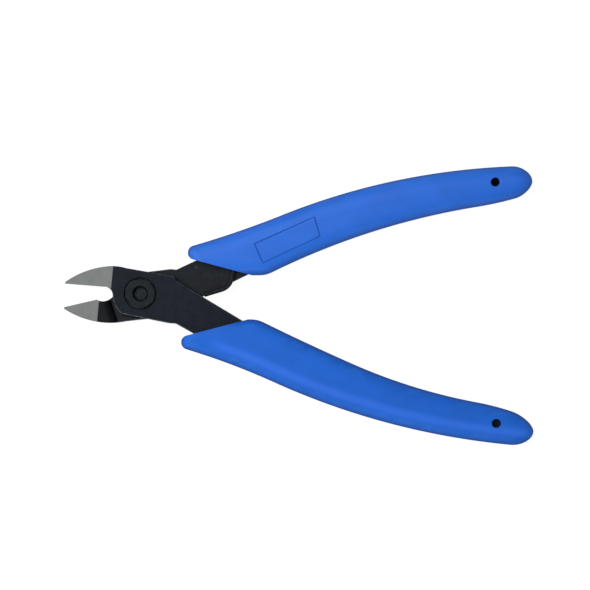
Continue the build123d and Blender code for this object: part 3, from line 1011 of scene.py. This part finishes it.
class NIPPERS_OT_stage(bpy.types.Operator):
    """Lays the table, sets the soft lights and hangs the camera straight above"""

    bl_idname = "nippers.stage"
    bl_label = "Stage"

    def execute(self, context):
        scene = context.scene
        settings = scene.nippers_stage
        scene.view_settings.view_transform = "Standard"
        camera = bpy.data.objects.new("camera", bpy.data.cameras.new("camera"))
        scene.collection.objects.link(camera)
        camera.data.lens = settings.lens
        camera.data.sensor_width = SENSOR
        camera.data.clip_start = 0.01
        height = settings.field * settings.lens / SENSOR
        camera.location = (*settings.aim, height + HEIGHT * MM / 2)
        scene.camera = camera
        world = bpy.data.worlds.new("surroundings")
        world.use_nodes = True
        room = Nodes(world.node_tree)
        up = room.node("SeparateXYZ", Vector=room.node("TexCoord")("Generated"))("Z")
        walls = (settings.walls,) * 3
        tent = room.mix(room.step(up, 0.1, 0.75), walls, (1.0, 1.0, 1.0))
        glow = room.node("Background", Color=tent, Strength=settings.sky)("Background")
        room.node("OutputWorld", Surface=glow)
        scene.world = world
        for name, (place, shape, size, size_y) in LIGHTS.items():
            light = bpy.data.lights.new(name, "AREA")
            light.shape = shape
            light.size = size
            light.size_y = size_y
            light.energy = getattr(settings, name)
            lamp = bpy.data.objects.new(name, light)
            scene.collection.objects.link(lamp)
            lamp.location = place
            lamp.rotation_mode = "QUATERNION"
            lamp.rotation_quaternion = (-Vector(place)).to_track_quat("-Z", "Y")
        bm = bmesh.new()
        bmesh.ops.create_grid(bm, x_segments=1, y_segments=1, size=TABLE_REACH)
        bmesh.ops.translate(bm, vec=(0, 0, -TABLE_GAP), verts=bm.verts)
        finish = Finish("table")
        cloud = finish.noise(40.0)
        material = finish.surface(
            Base_Color=finish.mix(cloud, (0.09, 0.09, 0.09), (0.11, 0.11, 0.11)),
            Roughness=0.8,
            Emission_Color=(1, 1, 1, 1),
            Emission_Strength=settings.floor_glow,
        )
        finished(bm, "table", material)
        return {"FINISHED"}


class NIPPERS_OT_levers(bpy.types.Operator):
    """Finishes both levers in blackened steel with ground blades"""

    bl_idname = "nippers.levers"
    bl_label = "Levers"

    def execute(self, context):
        settings = context.scene.nippers_steel
        front = steel_finish("front_steel", settings, settings.front, FRONT_TOP, FRONT_EDGE, 1)
        dress("front_lever", front)
        # The rear lever's oxide is painted lighter as painted light, and its raised joggle darker
        # as painted shade
        rear = steel_finish("rear_steel", settings, settings.rear, REAR_TOP, REAR_EDGE, -1, 0.8)
        dress("rear_lever", rear)
        return {"FINISHED"}


class NIPPERS_OT_pivot(bpy.types.Operator):
    """Finishes the pivot screw, its washer and its nut"""

    bl_idname = "nippers.pivot"
    bl_label = "Pivot"

    def execute(self, context):
        settings = context.scene.nippers_pivot
        black = screw_finish(settings)
        dress("pivot_screw", black)
        dress("pivot_nut", black)
        dress("thrust_washer", washer_finish(settings))
        return {"FINISHED"}


class NIPPERS_OT_spring(bpy.types.Operator):
    """Bends the return spring from round wire"""

    bl_idname = "nippers.spring"
    bl_label = "Spring"

    def execute(self, context):
        settings = context.scene.nippers_spring
        finish = spring_finish(settings)
        bm = wire_mesh(settings.wire / MM / 2, settings.sides, step=1.0)
        soften_ends(bm)
        wire = finished(bm, "spring_wire", finish)
        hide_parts("return_spring")
        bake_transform(wire)
        dress("spring_pin", finish)
        return {"FINISHED"}


class NIPPERS_OT_grips(bpy.types.Operator):
    """Moulds both grips round their tangs"""

    bl_idname = "nippers.grips"
    bl_label = "Grips"

    def execute(self, context):
        settings = context.scene.nippers_grips
        wire = context.scene.nippers_spring.wire
        for name, shape, lever, body in (
            ("upper", UPPER, "rear_lever", "rear_half"),
            ("lower", LOWER, "front_lever", "front_half"),
        ):
            finish = grip_finish(name + "_rubber", settings, shape)
            sleeve = finished(sleeve_mesh(shape, settings), name + "_sleeve", finish)
            carve(sleeve, tang_cutter(lever))
            carve(sleeve, hole_cutter(shape["hole"], settings.hole / MM / 2, shape["floor"]))
            if shape["panel"]:
                depth = settings.line_depth / MM
                carve(sleeve, frame_cutter(shape["panel"], line_reach(settings), depth))
            if name == "upper":
                channel = wire_mesh(wire / MM / 2 + WIRE_GAP, sides=16, step=4.0)
                carve(sleeve, finished(channel, "cutter"))
            sleeve.data.set_sharp_from_angle(angle=CREASE)
            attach(sleeve, body)
            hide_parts(name + "_grip")
        return {"FINISHED"}


class NIPPERS_PT_panel(bpy.types.Panel):
    """Steps that dress the nippers"""

    bl_idname = "NIPPERS_PT_panel"
    bl_label = "Nippers"
    bl_space_type = "VIEW_3D"
    bl_region_type = "UI"
    bl_category = "Nippers"

    def draw(self, context):
        for step in STEPS:
            self.layout.operator(step.bl_idname)


STEPS = (
    NIPPERS_OT_stage,
    NIPPERS_OT_levers,
    NIPPERS_OT_pivot,
    NIPPERS_OT_spring,
    NIPPERS_OT_grips,
)
SETTINGS = {
    "nippers_stage": StageSettings,
    "nippers_steel": SteelSettings,
    "nippers_pivot": PivotSettings,
    "nippers_spring": SpringSettings,
    "nippers_grips": GripSettings,
}
CLASSES = (*SETTINGS.values(), *STEPS, NIPPERS_PT_panel)


def register():
    for item in CLASSES:
        bpy.utils.register_class(item)
    for name, group in SETTINGS.items():
        setattr(bpy.types.Scene, name, PointerProperty(type=group))


def unregister():
    for name in SETTINGS:
        delattr(bpy.types.Scene, name)
    for item in reversed(CLASSES):
        bpy.utils.unregister_class(item)


def main():
    register()
    bpy.ops.nippers.stage()
    bpy.ops.nippers.levers()
    bpy.ops.nippers.pivot()
    bpy.ops.nippers.spring()
    bpy.ops.nippers.grips()


if __name__ == "__main__":
    main()
